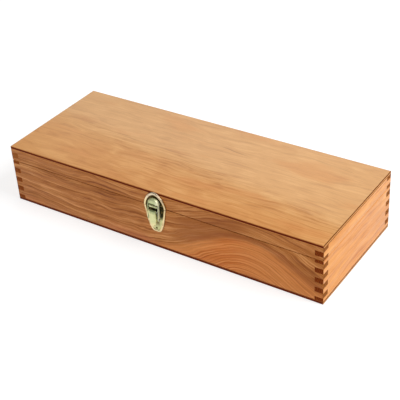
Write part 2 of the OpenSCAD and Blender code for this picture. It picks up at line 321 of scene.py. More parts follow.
# Each layer of the wood's figure is a noise stretched along the grain. The first three numbers are
# its cells per millimetre along the grain, across it and into the board, and the others are the
# noise's detail, roughness and distortion.
GRAIN = {
    "streak": (0.011, 0.48, 0.2, 4.0, 0.62, 0.25),
    "fine": (0.030, 1.25, 0.8, 4.0, 0.66, 0.2),
    "broad": (0.009, 0.030, 0.03, 2.0, 0.5, 0.2),
    "mottle": (0.035, 0.12, 0.05, 2.0, 0.5, 0.7),
    "lines": (0.016, 0.75, 0.7, 3.0, 0.55, 0.4),
    "pores": (0.20, 4.5, 4.5, 2.0, 0.5, 0.0),
}
RINGS_PER_MM, RING_WOBBLE = 0.13, 1.5


def grain(n, layer, u, h, w):
    per_u, per_h, per_w, *noise = GRAIN[layer]
    return n.noise(n.vector(n.mul(u, per_u), n.mul(h, per_h), n.mul(w, per_w)), 1.0, *noise)


def wood(name, along, across, depth, field, colours, tint=None, contrast=(1.0, 1.0, 0.3, 0.8, 0.5),
         pore=0.3, rough=0.36, lines=0.4, gloss_level=0.3, coat=0.15):
    """Long-grain wood. along, across and depth pick the axes. field(n, u, v, w) bends the grain: it
    gives the height in millimetres that a fibre keeps along its length. contrast is that of the
    broad streaks, the fine streaks, the growth rings, the blotches and the mottle."""
    n = Nodes(name)
    _, x, y, z = n.coords()
    axes = {"x": x, "y": y, "z": z}
    u, v, w = axes[along], axes[across], axes[depth]
    h = field(n, u, v, w)
    streak = grain(n, "streak", u, h, w)
    fine = grain(n, "fine", u, h, w)
    rings = n.mul(n.add(n.mul(h, RINGS_PER_MM), n.mul(streak, RING_WOBBLE)), 2 * math.pi)
    broad = grain(n, "broad", u, v, w)
    mottle = grain(n, "mottle", u, h, w)
    tone = 0.5
    for part, weight in zip((streak, fine, n.wave(rings), broad, mottle), contrast):
        tone = n.add(n.mul(n.sub(part, 0.5), weight), tone)
    colour = n.ramp(tone, colours)
    if tint:
        colour = tint(n, colour, x, y, z, h, streak)
    dark = colours[0][1]
    thin = n.mul(n.step(grain(n, "lines", u, h, w), 0.55, 0.66), lines)
    colour = n.mix(thin, colour, times(dark, 0.55))
    pores = n.step(grain(n, "pores", u, h, w), 0.60, 0.72)
    colour = n.mix(n.mul(pores, pore), colour, times(dark, 0.5))
    wear_and_highlight = n.mul(edge_wear(n, x, y, z), n.step(broad, 0.2, 0.7))
    colour = n.mix(n.mul(wear_and_highlight, 0.4), colour, times(dark, 0.7))
    surface = n.bump(n.mul(pores, -1.0), 0.25, 0.00006)
    surface = n.bump(fine, 0.16, 0.00010, surface)
    gloss = n.add(n.mul(fine, 0.16), n.add(n.mul(pores, 0.18), n.mul(broad, 0.12)))
    return n.set(
        Base_Color=colour, Roughness=n.add(gloss, rough - 0.14), Normal=surface,
        Specular_IOR_Level=gloss_level, Coat_Weight=coat, Coat_Roughness=0.22,
    )


PITH_BELOW, PITH_BESIDE = 40.0, 15.0


def end_grain(name, a, b, dark, mid, pale=None):
    """The cut ends of the boards: dark, with arcs of growth rings and pores. a and b pick the axes
    of the cut. pale(n, x, z) says where it took up less finish."""
    n = Nodes(name)
    place_, x, y, z = n.coords()
    axes = {"x": x, "y": y, "z": z}
    from_pith = [
        n.math("POWER", n.add(axes[a], PITH_BELOW), 2.0),
        n.math("POWER", n.sub(axes[b], PITH_BESIDE), 2.0),
    ]
    r = n.math("SQRT", n.add(*from_pith))
    wobble = n.noise(place_, 0.35, 3.0, 0.5)
    rings = n.wave(n.mul(n.add(r, n.mul(wobble, 2.5)), 3.4))
    grit = n.noise(place_, 3.2, 4.0, 0.65)
    pores = n.step(n.noise(place_, 7.0, 2.0, 0.5), 0.60, 0.72)
    tone = n.add(n.mul(rings, 0.35), n.mul(grit, 0.65))
    colour = n.ramp(tone, [(0.15, dark), (0.75, mid)])
    if pale:
        colour = n.mix(pale(n, x, z), colour, srgb(168, 104, 52))
    colour = n.mix(n.mul(pores, 0.6), colour, times(dark, 0.35))
    colour = n.mix(n.mul(edge_wear(n, x, y, z), 0.3), colour, times(dark, 0.7))
    surface = n.bump(n.mul(pores, -1.0), 0.35, 0.0001)
    surface = n.bump(grit, 0.2, 0.0001, surface)
    return n.set(
        Base_Color=colour, Roughness=n.add(n.mul(grit, 0.2), 0.45), Normal=surface,
        Specular_IOR_Level=0.02,
    )


def wander(n, u, v, w, length, width, size):
    """A slow drift of the grain of up to half of size, over about length by width millimetres."""
    at = n.vector(n.mul(u, 1 / length), n.mul(v, 1 / width), n.mul(w, 0.01))
    return n.mul(n.sub(n.noise(at, 1.0, 2.0, 0.5, 0.3), 0.5), size)


def drifting(n, h, u, v, w, slow, quick):
    """The height h, plus a slow and a quick drift of the grain."""
    return n.add(n.add(h, wander(n, u, v, w, *slow)), wander(n, u, v, w, *quick))


# The hill in the long boards' figure: its middle, half its width, its height, and the height at
# which it fades out
FLAME_X, FLAME_WIDE, FLAME_HIGH, FLAME_FADE = 96.0, 54.0, 62.0, 92.0


def flame(n, u, v, w):
    """The long boards: nearly straight grain that climbs over a hill right of the middle."""
    t = n.mul(n.sub(u, FLAME_X), 1 / FLAME_WIDE)
    hill = n.math("EXPONENT", n.mul(n.mul(t, t), -1.0))
    lift = n.mul(n.mul(hill, FLAME_HIGH), n.sub(1.0, n.mul(v, 1 / FLAME_FADE)))
    return drifting(n, n.sub(v, lift), u, v, w, (85.0, 30.0, 16.0), (16.0, 9.0, 2.6))


def flame_tint(n, colour, x, y, z, h, streak):
    """The hill of the figure is more orange, with a bright sweep along its lower flank and reds at
    its foot. edge is the height on the hill, from negative inside to positive outside."""
    edge = n.add(h, n.mul(n.sub(streak, 0.5), 14.0))
    inside = n.step(edge, 8.0, -3.0)
    glow = n.ramp(streak, [
        (0.32, srgb(186, 88, 22)), (0.52, srgb(216, 122, 50)), (0.68, srgb(236, 154, 84)),
    ])
    strength = n.add(n.mul(n.step(x, 128.0, 76.0), 0.40), 0.34)
    colour = n.mix(n.mul(inside, strength), colour, glow)
    above = n.mul(
        n.mul(n.step(edge, 5.0, 12.0), n.step(edge, 44.0, 26.0)),
        n.mul(n.step(x, 12.0, 36.0), n.step(x, 104.0, 78.0)),
    )
    colour = n.mix(n.mul(above, 0.50), colour, srgb(150, 80, 28))
    rim = n.mul(n.step(edge, 13.0, 8.0), n.step(edge, 1.0, 6.0), n.step(x, 20.0, 50.0), 0.55)
    colour = n.mix(rim, colour, srgb(150, 76, 26))
    sweep = n.mul(n.step(edge, 5.0, -1.0), n.step(edge, -16.0, -7.0))
    sweep = n.mul(sweep, n.mul(n.step(x, -20.0, 12.0), n.step(x, 78.0, 38.0)))
    colour = n.mix(n.mul(sweep, 0.65), colour, srgb(226, 148, 78))
    crown = n.mul(inside, n.step(x, 70.0, 105.0), 0.35)
    colour = n.mix(crown, colour, srgb(228, 148, 80))
    foot = n.mul(n.step(x, -75.0, -45.0), n.step(x, 5.0, -15.0))
    foot = n.mul(n.step(z, 16.0, 4.0), foot)
    return n.mix(n.mul(foot, 0.30), colour, srgb(214, 120, 80))


def straight(n, u, v, w):
    return drifting(n, v, u, v, w, (80.0, 30.0, 14.0), (18.0, 9.0, 2.0))


def leafy(n, u, v, w):
    """Flat-cut veneer: nearly straight, with slow bends."""
    return drifting(n, v, u, v, 0.0, (110.0, 30.0, 16.0), (22.0, 10.0, 2.4))


# The veneer's few dark streaks: x and y of the middle, slope, half length, thickness, strength
VENEER_STREAKS = (
    (27.0, 28.0, -0.12, 24.0, 1.3, 0.5),
    (112.0, 45.0, -0.10, 42.0, 1.0, 0.35),
    (98.0, -44.0, -0.05, 34.0, 1.0, 0.35),
    (-120.0, -16.0, 0.03, 40.0, 1.2, 0.3),
)


def veneer_tint_and_sheen(n, colour, x, y, z, h, streak):
    """The veneer is paler towards the back, a painted sheen, and more orange at the front; it is
    also paler towards the left, and has a few dark streaks and blotches."""
    edge = n.add(n.add(y, n.mul(x, 0.13)), n.mul(n.sub(streak, 0.5), 40.0))
    # Painted sheen: paler towards the back.
    colour = n.mix(n.mul(n.step(edge, -22.0, 2.0), 0.42), colour, srgb(236, 188, 134))
    colour = n.mix(n.mul(n.step(edge, -10.0, -45.0), 0.30), colour, srgb(220, 140, 66))
    colour = n.mix(n.mul(n.step(x, -40.0, -160.0), 0.22), colour, srgb(240, 184, 116))
    blotch = n.noise(n.vector(n.mul(x, 0.014), n.mul(h, 0.05), 7.0), 1.0, 2.0, 0.5)
    colour = n.mix(n.mul(n.step(blotch, 0.52, 0.70), 0.30), colour, srgb(220, 142, 78))
    for x0, y0, slope, length, thick, strength in VENEER_STREAKS:
        from_middle = n.sub(x, x0)
        across = n.sub(n.add(h, n.mul(from_middle, -slope)), y0)
        near = n.mul(
            n.step(n.size_of(across), thick, 0.0),
            n.step(n.size_of(from_middle), length, length * 0.3),
        )
        share = n.mul(near, n.mul(n.step(streak, 0.35, 0.6), strength))
        colour = n.mix(share, colour, srgb(140, 82, 40))
    return colour


long_wood = wood(
    "wood_long_boards", "x", "z", "y", flame,
    [(0.12, srgb(134, 68, 14)), (0.5, srgb(183, 112, 50)), (0.88, srgb(217, 150, 88))],
    tint=flame_tint, contrast=(1.4, 1.2, 0.12, 0.45, 0.5),
    pore=0.30, rough=0.40, lines=0.22, gloss_level=0.12, coat=0.04,
)
short_wood = wood(
    "wood_short_boards", "y", "z", "x", straight,
    [(0.15, srgb(190, 114, 46)), (0.5, srgb(213, 140, 66)), (0.85, srgb(226, 157, 80))],
    contrast=(1.2, 0.9, 0.10, 0.5, 0.8),
    pore=0.20, rough=0.38, lines=0.12, gloss_level=0.25, coat=0.12,
)
veneer = wood(
    "wood_veneer", "x", "y", "z", leafy,
    [(0.15, srgb(195, 130, 70)), (0.5, srgb(218, 157, 93)), (0.85, srgb(234, 178, 114))],
    tint=veneer_tint_and_sheen, contrast=(1.1, 0.8, 0.06, 0.5, 1.1),
    pore=0.22, rough=0.36, lines=0.07, gloss_level=0.25, coat=0.15,
)


def pale_left(n, x, z):
    """The ends on the left are paler, most of all in the lid."""
    left = n.step(x, 0.0, -40.0)
    return n.mul(left, n.add(n.mul(n.step(z, PART_Z - 1.0, PART_Z), 0.45), 0.25))


long_ends = end_grain("wood_long_board_ends", "z", "y", srgb(104, 54, 20), srgb(150, 90, 36))
short_ends = end_grain(
    "wood_short_board_ends", "z", "x", srgb(92, 28, 6), srgb(142, 66, 18), pale_left
)


def plies(name, face_ply, glue_ply, skins, core_colour, grain_axis, foot_skins_shaded):
    """The edge of a panel: outer veneer, core and inner veneer, told apart by their depth below the
    outer face. face_ply and glue_ply are the veneers' thicknesses, skins is their colour on the top
    panel, and the last argument their colour on the bottom one, darker as painted shade near the
    floor."""
    n = Nodes(name)
    _, x, y, z = n.coords()
    drift = n.noise(n.vector(n.mul(x, 0.05), n.mul(y, 0.05), 1.0), 1.0, 2.0, 0.5)
    in_top = n.math("GREATER_THAN", z, BOX_H / 2)
    in_foot = n.sub(1.0, in_top)
    depth = n.add(n.mul(in_top, n.sub(BOX_H, z)), n.mul(in_foot, z))
    depth = n.add(depth, n.mul(n.sub(drift, 0.5), 0.25))
    core = n.mul(
        n.step(depth, face_ply - 0.06, face_ply + 0.10),
        n.step(depth, PLY - glue_ply + 0.06, PLY - glue_ply - 0.10),
    )
    along = {"x": x, "y": y}[grain_axis]
    fine = n.vector(n.mul(along, 0.05), n.mul(z, 4.0), n.mul(along, 0.02))
    coarse = n.vector(n.mul(x, 0.9), n.mul(y, 0.9), n.mul(z, 3.0))
    fine, coarse = n.noise(fine, 1.0, 4.0, 0.6), n.noise(coarse, 1.0, 3.0, 0.6)
    mixed = n.add(n.mul(fine, 0.55), n.mul(coarse, 0.45))

    def ply(colour, shade):
        return n.ramp(mixed, [(0.25, times(colour, shade)), (0.75, colour)])

    # Painted shade: the bottom panel's skins are darker, near the floor.
    faces = n.mix(in_foot, ply(skins, 0.7), ply(foot_skins_shaded, 0.7))
    colour = n.mix(core, faces, ply(core_colour, 0.6))
    wear_and_highlight = n.mul(edge_wear(n, x, y, z, 1.2), n.step(coarse, 0.4, 0.6))
    darkest = tuple(0.6 * min(pair) for pair in zip(skins, core_colour))
    colour = n.mix(n.mul(wear_and_highlight, 0.25), colour, darkest)
    surface = n.bump(n.mul(core, -1.0), 0.3, 0.00008)
    surface = n.bump(coarse, 0.2, 0.0001, surface)
    return n.set(
        Base_Color=colour, Roughness=n.add(n.mul(coarse, 0.2), 0.38), Normal=surface,
        Specular_IOR_Level=0.03,
    )


ply_long = plies(
    "plywood_long_edge", 0.36, 0.75, srgb(214, 140, 78), srgb(112, 34, 3), "x", srgb(150, 88, 44)
)
ply_short = plies(
    "plywood_short_edge", 0.75, 0.95, srgb(116, 64, 22), srgb(226, 158, 92), "y", srgb(92, 58, 34)
)


# ------------------------------------------------------------------ boards


def owner_levels(low, high, carcass_z, odd):
    """The heights between low and high, with whether a board of this parity owns the corner there.
    The fingers are counted from carcass_z, and those at the two ends run on past the carcass."""
    def start(i):
        if i == 0:
            return -1.0
        return CARCASS_H + 1.0 if i > WHOLE_FINGERS + 1 else EDGE_FINGER + (i - 1) * FINGER

    levels = []
    for i in range(WHOLE_FINGERS + 2):
        z0, z1 = max(low, carcass_z + start(i)), min(high, carcass_z + start(i + 1))
        if z1 > z0 + 1e-6:
            levels.append((z0, z1, i % 2 == odd))
    return levels


def board_outline(half, low, high, carcass_z, odd):
    """A board seen square on, with its fingers at both ends."""
    right = []
    for z0, z1, owned in owner_levels(low, high, carcass_z, odd):
        a = half if owned else half - WALL
        for p in ((a, z0), (a, z1)):
            if not right or right[-1] != p:
                right.append(p)
    return right + [(-a, z) for a, z in reversed(right)]


def board(name, body, slot, side, low, high, carcass_z, mortises=()):
    """A board from low to high, on the side (-1 or 1) of the box that it closes, with its outer
    corners rounded as the box's are."""
    long_one = slot == "board_long"
    half, across = (HALF_W, HALF_D) if long_one else (HALF_D, HALF_W)
    bm = bmesh.new()
    to_3d = (lambda a, b, d: (a, side * d, b)) if long_one else (lambda a, b, d: (side * d, a, b))
    outline = board_outline(half, low, high, carcass_z, 1 if long_one else 0)
    prism(bm, outline, to_3d, across - WALL, across)
    bmesh.ops.recalc_face_normals(bm, faces=bm.faces)
    if mortises:
        bm = with_mortises(bm, mortises)

    def outer_corner(e):
        return all(
            abs(abs(v.co.x) - HALF_W) < 1e-3 and abs(abs(v.co.y) - HALF_D) < 1e-3 for v in e.verts
        )

    soften(bm, CORNER_R, 5, only=outer_corner)
    soften(bm, EDGE_R, 2, angle=40)
    length_axis = 0 if long_one else 1
    obj = finish_mesh(
        name, bm, [long_wood, long_ends] if long_one else [short_wood, short_ends],
        index_of=lambda f: 1 if abs(f.normal[length_axis]) > 0.72 else 0, smooth_angle=38,
    )
    place(obj, body, slot, name.replace("_shown", ""))


def linked(name, bm):
    """The bmesh as an object of the scene, in its own units."""
    mesh = bpy.data.meshes.new(name)
    bm.to_mesh(mesh)
    bm.free()
    obj = bpy.data.objects.new(name, mesh)
    bpy.context.scene.collection.objects.link(obj)
    return obj


def with_mortises(bm, boxes):
    """The board with boxes cut out of it."""
    blank = linked("blank", bm)
    cutters = []
    for low, high in boxes:
        cut = bmesh.new()
        bmesh.ops.create_cube(cut, size=1.0)
        for v in cut.verts:
            v.co = Vector([low[k] if v.co[k] < 0 else high[k] for k in range(3)])
        cutters.append(linked("cutter", cut))
        b = blank.modifiers.new("cut", "BOOLEAN")
        b.operation = "DIFFERENCE"
        b.solver = "EXACT"
        b.object = cutters[-1]
    bpy.context.view_layer.update()
    depsgraph = bpy.context.evaluated_depsgraph_get()
    made = bpy.data.meshes.new_from_object(blank.evaluated_get(depsgraph))
    out = bmesh.new()
    out.from_mesh(made)
    for o in [blank, *cutters]:
        mesh = o.data
        bpy.data.objects.remove(o)
        bpy.data.meshes.remove(mesh)
    bpy.data.meshes.remove(made)
    bmesh.ops.dissolve_limit(out, angle_limit=0.01, verts=out.verts, edges=out.edges)
    return out


def mortises(leaf_nodes, up):
    """The recesses that hold the hinge leaves, a little larger than the leaves all round. They open
    upwards in the body and downwards in the lid."""
    boxes = []
    for node in leaf_nodes:
        low, high = mm_box(node)
        left, right, inner = low[0] - MORTISE_PLAY, high[0] + MORTISE_PLAY, low[1] - MORTISE_PLAY
        if up:
            foot, top = BODY_RIM - MORTISE_DEEP, BODY_RIM + MORTISE_PAST
        else:
            foot, top = LID_RIM - MORTISE_PAST, LID_RIM + MORTISE_DEEP
        boxes.append(((left, inner, foot), (right, HALF_D + MORTISE_PAST, top)))
    return boxes


for storey, body, low, high, carcass_z in (
    ("body", "case", PLY, BODY_RIM, PLY),
    ("lid", "lid", LID_RIM, BOX_H - PLY, PLY - KERF),
):
    leaves = [f"{s}_hinge_{storey}_leaf" for s in ("left", "right")]
    cuts = mortises(leaves, storey == "body")
    board(f"{storey}_front_board_shown", body, "board_long", -1, low, high, carcass_z)
    board(f"{storey}_back_board_shown", body, "board_long", 1, low, high, carcass_z, cuts)
    board(f"{storey}_left_board_shown", body, "board_short", -1, low, high, carcass_z)
    board(f"{storey}_right_board_shown", body, "board_short", 1, low, high, carcass_z)


# ------------------------------------------------------------------ plywood panels


def panel(name, body, z_face, z_glue, radius):
    """A panel whose outer face is at z_face, with that face's edges rounded."""
    bm = bmesh.new()
    bmesh.ops.create_cube(bm, size=1.0)
    z0, z1 = min(z_face, z_glue), max(z_face, z_glue)
    for v in bm.verts:
        x, y = math.copysign(HALF_W, v.co.x), math.copysign(HALF_D, v.co.y)
        v.co = Vector((x, y, z1 if v.co.z > 0 else z0))

    def upright(e):
        return abs(e.verts[0].co.z - e.verts[1].co.z) > 1

    def round_the_face(e):
        return all(abs(v.co.z - z_face) < 1e-3 for v in e.verts)

    soften(bm, CORNER_R, 5, only=upright)
    soften(bm, radius, 8, angle=60, only=round_the_face)
    soften(bm, PANEL_EDGE_R, 2, angle=60)

    def index(f):
        c, normal = f.calc_center_median(), f.normal
        if abs(c.z - z_face) < 1e-3 or abs(c.z - z_glue) < 1e-3 or abs(normal.z) > 0.985:
            return 0
        return 1 if abs(normal.y) > abs(normal.x) else 2

    obj = finish_mesh(name, bm, [veneer, ply_long, ply_short], index_of=index, smooth_angle=35)
    place(obj, body, "panel", name.replace("_shown", ""))


panel("top_panel_shown", "lid", BOX_H, BOX_H - PLY, TOP_R)
panel("bottom_panel_shown", "case", 0.0, PLY, BOTTOM_R)


# ------------------------------------------------------------------ metal


# The latch, as in part.scad: across, up from the parting line, out from the wood
LATCH_X, LATCH_GAP, SHEET = 1.3, 0.3, 0.8
PLATE_A, STRIKE_B, BASE_B, RIM_W, RIM_H = 11.6, 15.0, 26.0, 2.0, 1.5
PIN_R, LUG_R, LUG_X, ARM_X = 0.8, 1.5, 2.9, 5.0
EAR_X = LUG_X - LATCH_GAP - SHEET
# Pins and the hook's roll as (out, up)
PIVOT, LINK, ROLL, ROLL_R = (3.7, -2.95), (3.4, -10.75), (2.6, 1.9), 1.6
LEVER_TOP, LEVER_LEN, LEVER_W, LEVER_TAPER, TIP_W, TIP_LEN = -1.15, 14.5, 7.8, 0.8, 3.2, 2.2
LEVER_FOOT, LEVER_CORNER = LEVER_TOP - LEVER_LEN, 1.2
LEVER_BACK = PIVOT[0] + LUG_R + LATCH_GAP
LEVER_OUT = LEVER_BACK + SHEET
HOOD_BACK, HOOD_FOOT, HOOD_TOP, HOOD_START, HOOD_R = 3.8, 1.2, 9.2, 4.7, 1.35
SHOULDER = HOOD_TOP - 5.4
HOOK_W, TONGUE_OUT, TONGUE_TOP = 8.4, HOOD_BACK - LATCH_GAP, HOOD_TOP - 0.4
BASE_NAILS = [(-7.1, -3.6), (7.1, -3.6), (0.0, -22.4)]
STRIKE_NAILS = [(-7.3, 3.4), (7.3, 3.4)]


def metal(name, base, dull, dark, rough=0.24, recess=None, tint_and_painted_light=None):
    """Thin brass plate: cloudy, faintly brushed, with tarnish specks. recess is a painted shade
    that darkens it round the latch's hook. tint_and_painted_light(n, colour, x, up, cloud) tints it
    further and paints light and shade onto it, with x from the latch's middle and up from the
    parting line."""
    n = Nodes(name)
    place_, x, y, z = n.coords()
    cloud = n.noise(place_, 0.22, 3.0, 0.55)
    brushed = n.noise(n.vector(n.mul(x, 9.0), n.mul(y, 2.0), n.mul(z, 0.6)), 1.0, 4.0, 0.6)
    speck = n.step(n.noise(place_, 2.4, 4.0, 0.6), 0.60, 0.74)
    colour = n.mix(n.step(cloud, 0.35, 0.75), base, dull)
    colour = n.mix(n.mul(speck, 0.45), colour, dark)
    gloss = n.add(n.mul(brushed, 0.12), n.add(n.mul(speck, 0.2), rough - 0.06))
    # Painted shade round the latch's hook: the plate darkens towards the recess colour upwards from
    # 12 mm below the parting line.
    if recess:
        up = n.add(z, n.mul(cloud, 3.0))
        shade = n.step(up, PART_Z - 12.0, PART_Z - 6.0)
        colour = n.mix(n.mul(shade, 0.96), colour, recess)
        gloss = n.add(gloss, n.mul(shade, 0.25))
    if tint_and_painted_light:
        colour = tint_and_painted_light(n, colour, n.sub(x, LATCH_X), n.sub(z, PART_Z), cloud)
    surface = n.bump(brushed, 0.10, 0.00004)
    surface = n.bump(cloud, 0.15, 0.0002, surface)
    return n.set(Base_Color=colour, Metallic=1.0, Roughness=gloss, Normal=surface)


def dish_lever_shadow(n, colour, x, up, cloud):
    """The base plate has a painted shadow where the lever overhangs it."""
    uneven = n.mul(cloud, 3.0)
    side = n.step(n.size_of(n.add(x, uneven)), 7.0, 3.6)
    under = n.mul(side, n.step(n.add(up, uneven), -21.4, -15.0))
    return n.mix(n.mul(under, 0.80), colour, srgb(92, 70, 32))


def lever_shade_and_highlight(n, colour, x, up, cloud):
    """The lever has painted shade at its top, greener and duller, and a painted highlight along its
    left edge and at its foot."""
    head = n.step(n.add(up, cloud), -5.2, -1.6)
    colour = n.mix(n.mul(head, 0.70), colour, srgb(138, 152, 108))
    wear_and_highlight = n.larger(n.step(x, -1.9, -3.4), n.mul(n.step(up, -12.0, -16.0), 0.8))
    return n.mix(n.mul(wear_and_highlight, 0.75), colour, srgb(246, 230, 176))


def hood_shade_and_highlight(n, colour, x, up, cloud):
    """The hood has painted shade along its lower edge and a painted highlight on its right shoulder
    and arm.
    """
    lip = n.mul(
        n.step(up, HOOD_START + 1.15, HOOD_START + 0.55),
        n.step(up, HOOD_START - 0.5, HOOD_START),
        n.step(n.size_of(x), ARM_X, ARM_X - 0.8),
        0.85,
    )
    colour = n.mix(lip, colour, srgb(84, 96, 44))
    pale = n.mul(n.step(x, 2.4, 4.4), n.step(up, -12.0, -8.0), 0.7)
    return n.mix(pale, colour, srgb(240, 238, 208))


def rim_tarnish_and_shade(n, colour, x, up, cloud):
    """The rim is whiter at its crown, has tarnished stretches, and has painted shade beside the
    hook on the right."""
    crown = n.mul(n.step(n.add(up, cloud), 4.0, 12.0), 0.7)
    colour = n.mix(crown, colour, srgb(226, 210, 190))
    colour = n.mix(n.mul(n.step(cloud, 0.54, 0.66), 0.45), colour, srgb(150, 116, 70))
    beside = n.mul(n.step(x, 1.0, 7.0), n.mul(n.step(up, -10.0, -2.0), 0.35))
    return n.mix(beside, colour, srgb(176, 140, 100))


TARNISH = srgb(132, 118, 66)
latch_metal = metal("latch_brass_plate", srgb(212, 212, 162), srgb(186, 190, 140), TARNISH)
latch_lever_metal = metal(
    "latch_brass_lever", srgb(214, 214, 160), srgb(196, 198, 144), TARNISH, 0.40,
    tint_and_painted_light=lever_shade_and_highlight,
)
latch_hood_metal = metal(
    "latch_brass_hood", srgb(212, 218, 172), srgb(192, 200, 150), TARNISH, 0.60,
    tint_and_painted_light=hood_shade_and_highlight,
)
# The dish's brass, with painted shade round the hook and a painted shadow under the lever.
latch_recess_shaded = metal(
    "latch_brass_recess_shaded", srgb(206, 206, 152), srgb(176, 176, 118), srgb(110, 98, 50), 0.32,
    recess=srgb(44, 36, 16), tint_and_painted_light=dish_lever_shadow,
)
# Paler and creamier than the plate's brass: a painted highlight on the raised rim.
latch_rim_lit = metal(
    "latch_brass_rim_lit", srgb(240, 220, 172), srgb(230, 206, 156), srgb(176, 146, 96), 0.38,
    tint_and_painted_light=rim_tarnish_and_shade,
)
# Dark bronze on the rim's outside wall: painted shade.
latch_shaded_wall = metal(
    "latch_brass_shaded_wall", srgb(150, 118, 64), srgb(124, 92, 46), srgb(84, 60, 28), 0.46
)
# Dark nail heads: painted shade, matching the shaded recess that they sit in.
latch_nail = metal(
    "latch_brass_nail", srgb(112, 96, 56), srgb(84, 68, 36), srgb(44, 34, 16), 0.42
)
hinge_metal = metal(
    "hinge_brass", srgb(224, 192, 116), srgb(196, 160, 88), srgb(120, 90, 40), 0.30
)
pin_metal = metal(
    "pin_steel", srgb(206, 202, 190), srgb(180, 174, 160), srgb(110, 100, 84), 0.30
)
PLATE_METALS = [latch_metal, latch_recess_shaded, latch_rim_lit, latch_shaded_wall]


def on_front(x, up, out):
    """A place on the latch: across, up from the parting line, out from the wood."""
    return (LATCH_X + x, -HALF_D - out, PART_Z + up)


def half_oval(a, b, n, start, taper=0.0, steps=60):
    """Half an oval standing on up = start, as [(x, up)] from right to left. It is squarer as n
    grows, and narrower by taper at its end."""
    pts = []
    for k in range(steps + 1):
        c, s = math.cos(math.pi * k / steps), math.sin(math.pi * k / steps)
        rise = max(s, 0.0) ** (2 / n)
        half = (a - taper * rise) * abs(c) ** (2 / n)
        pts.append((math.copysign(half, c), start + (b - start) * rise))
    return pts


def skin(bm, rings, closed=False):
    """Joins rows of vertices with quads."""
    for a, b in zip(rings, rings[1:]):
        n = len(a)
        for i in range(n if closed else n - 1):
            j = (i + 1) % n
            bm.faces.new((a[i], a[j], b[j], b[i]))


# The stamped rim in section, from the wood at its outside to the dish: (inset, out)
RIM_SECTION = [
    (0.0, 0.0), (0.0, 0.85), (0.12, 1.18), (0.38, 1.42), (0.8, RIM_H), (1.2, RIM_H),
    (1.55, 1.38), (1.82, 1.12), (RIM_W, SHEET), (RIM_W + 0.5, SHEET),
]


def stamped_plate(bm, b, up_sign, n, taper, end_rim):
    """An oval half-plate, flat against the wood, with a rounded rim and a shallow dish inside. The
    rim is wider by end_rim at the oval's end."""
    rows = []
    for inset, out in RIM_SECTION:
        end = b - inset * (1 + end_rim / RIM_W)
        oval = half_oval(PLATE_A - inset, end, n, RIM_GAP / 2, taper)
        rows.append([bm.verts.new(on_front(x, up_sign * up, out)) for x, up in oval])
    skin(bm, rows)
    bm.faces.new(rows[-1])
    bm.faces.new(rows[0][::-1])
    bm.faces.new([r[0] for r in rows] + [r[-1] for r in reversed(rows)])


def plate_index(f):
    """Of PLATE_METALS: 0 bright metal, 1 the dish, with painted shade, 2 the rim, paler as a
    painted highlight, 3 the wall outside the rim, dark as painted shade.
    """
    out = -HALF_D - f.calc_center_median().y
    if out < 0.86 and f.normal.y < -0.9:
        return 1
    if out < 0.95 and abs(f.normal.y) < 0.5 and f.normal.z < 0.8:
        return 3
    return 2 if out < RIM_H + 0.02 else 0


def sheet_shape(bm, points, x0, x1, ease=0.14):
    """A flat shape in side view, as [(out, up)], cut from sheet that stands from x0 to x1."""
    part = bmesh.new()
    prism(part, points, lambda out, up, x: on_front(x, up, out), x0, x1)
    bmesh.ops.recalc_face_normals(part, faces=part.faces)
    soften(part, ease, 2, angle=45)
    graft(bm, part)


def graft(bm, part):
    """Moves the mesh of part into bm."""
    mesh = bpy.data.meshes.new("part")
    part.to_mesh(mesh)
    part.free()
    bm.from_mesh(mesh)
    bpy.data.meshes.remove(mesh)


def polar(centre, r, degrees):
    turn = math.radians(degrees)
    return (centre[0] + r * math.cos(turn), centre[1] + r * math.sin(turn))


def arc(centre, r, a0, a1, steps):
    return [polar(centre, r, a0 + (a1 - a0) * k / steps) for k in range(steps + 1)]


# A nail from the crown of its head to its point: (radius, out)
NAIL = [
    (0.0, SHEET + 0.45), (0.45, SHEET + 0.43), (0.8, SHEET + 0.33), (1.02, SHEET + 0.16),
    (1.1, SHEET + 0.02), (1.0, SHEET - 0.04), (0.5, SHEET - 0.05), (0.5, -4.6), (0.0, -5.2),
]


def nails(name, body, places, node):
    bm = bmesh.new()
    for px, pup in places:
        lathe(bm, NAIL, lambda a, b, t, px=px, pup=pup: on_front(px + a, pup + b, t))
    obj = finish_mesh(name, bm, [latch_nail], smooth_angle=50)
    place(obj, body, "latch_brass", node)


# Base plate with its two ears
bm = bmesh.new()
stamped_plate(bm, BASE_B, -1, 4.0, 4.6, 0.0)
ear = [(0.5, PIVOT[1] - 5.8), (0.5, PIVOT[1] - 2.0)] + arc(PIVOT, LUG_R, 144, -52, 14)
for s in (-1, 1):
    sheet_shape(bm, ear, s * EAR_X, s * (EAR_X + SHEET))
obj = finish_mesh("latch_base_plate_shown", bm, PLATE_METALS, plate_index, 42)
place(obj, "case", "latch_brass", "latch_base_plate")

# Strike plate with its rolled hook
bm = bmesh.new()
stamped_plate(bm, STRIKE_B, 1, 1.75, 0.0, 1.0)
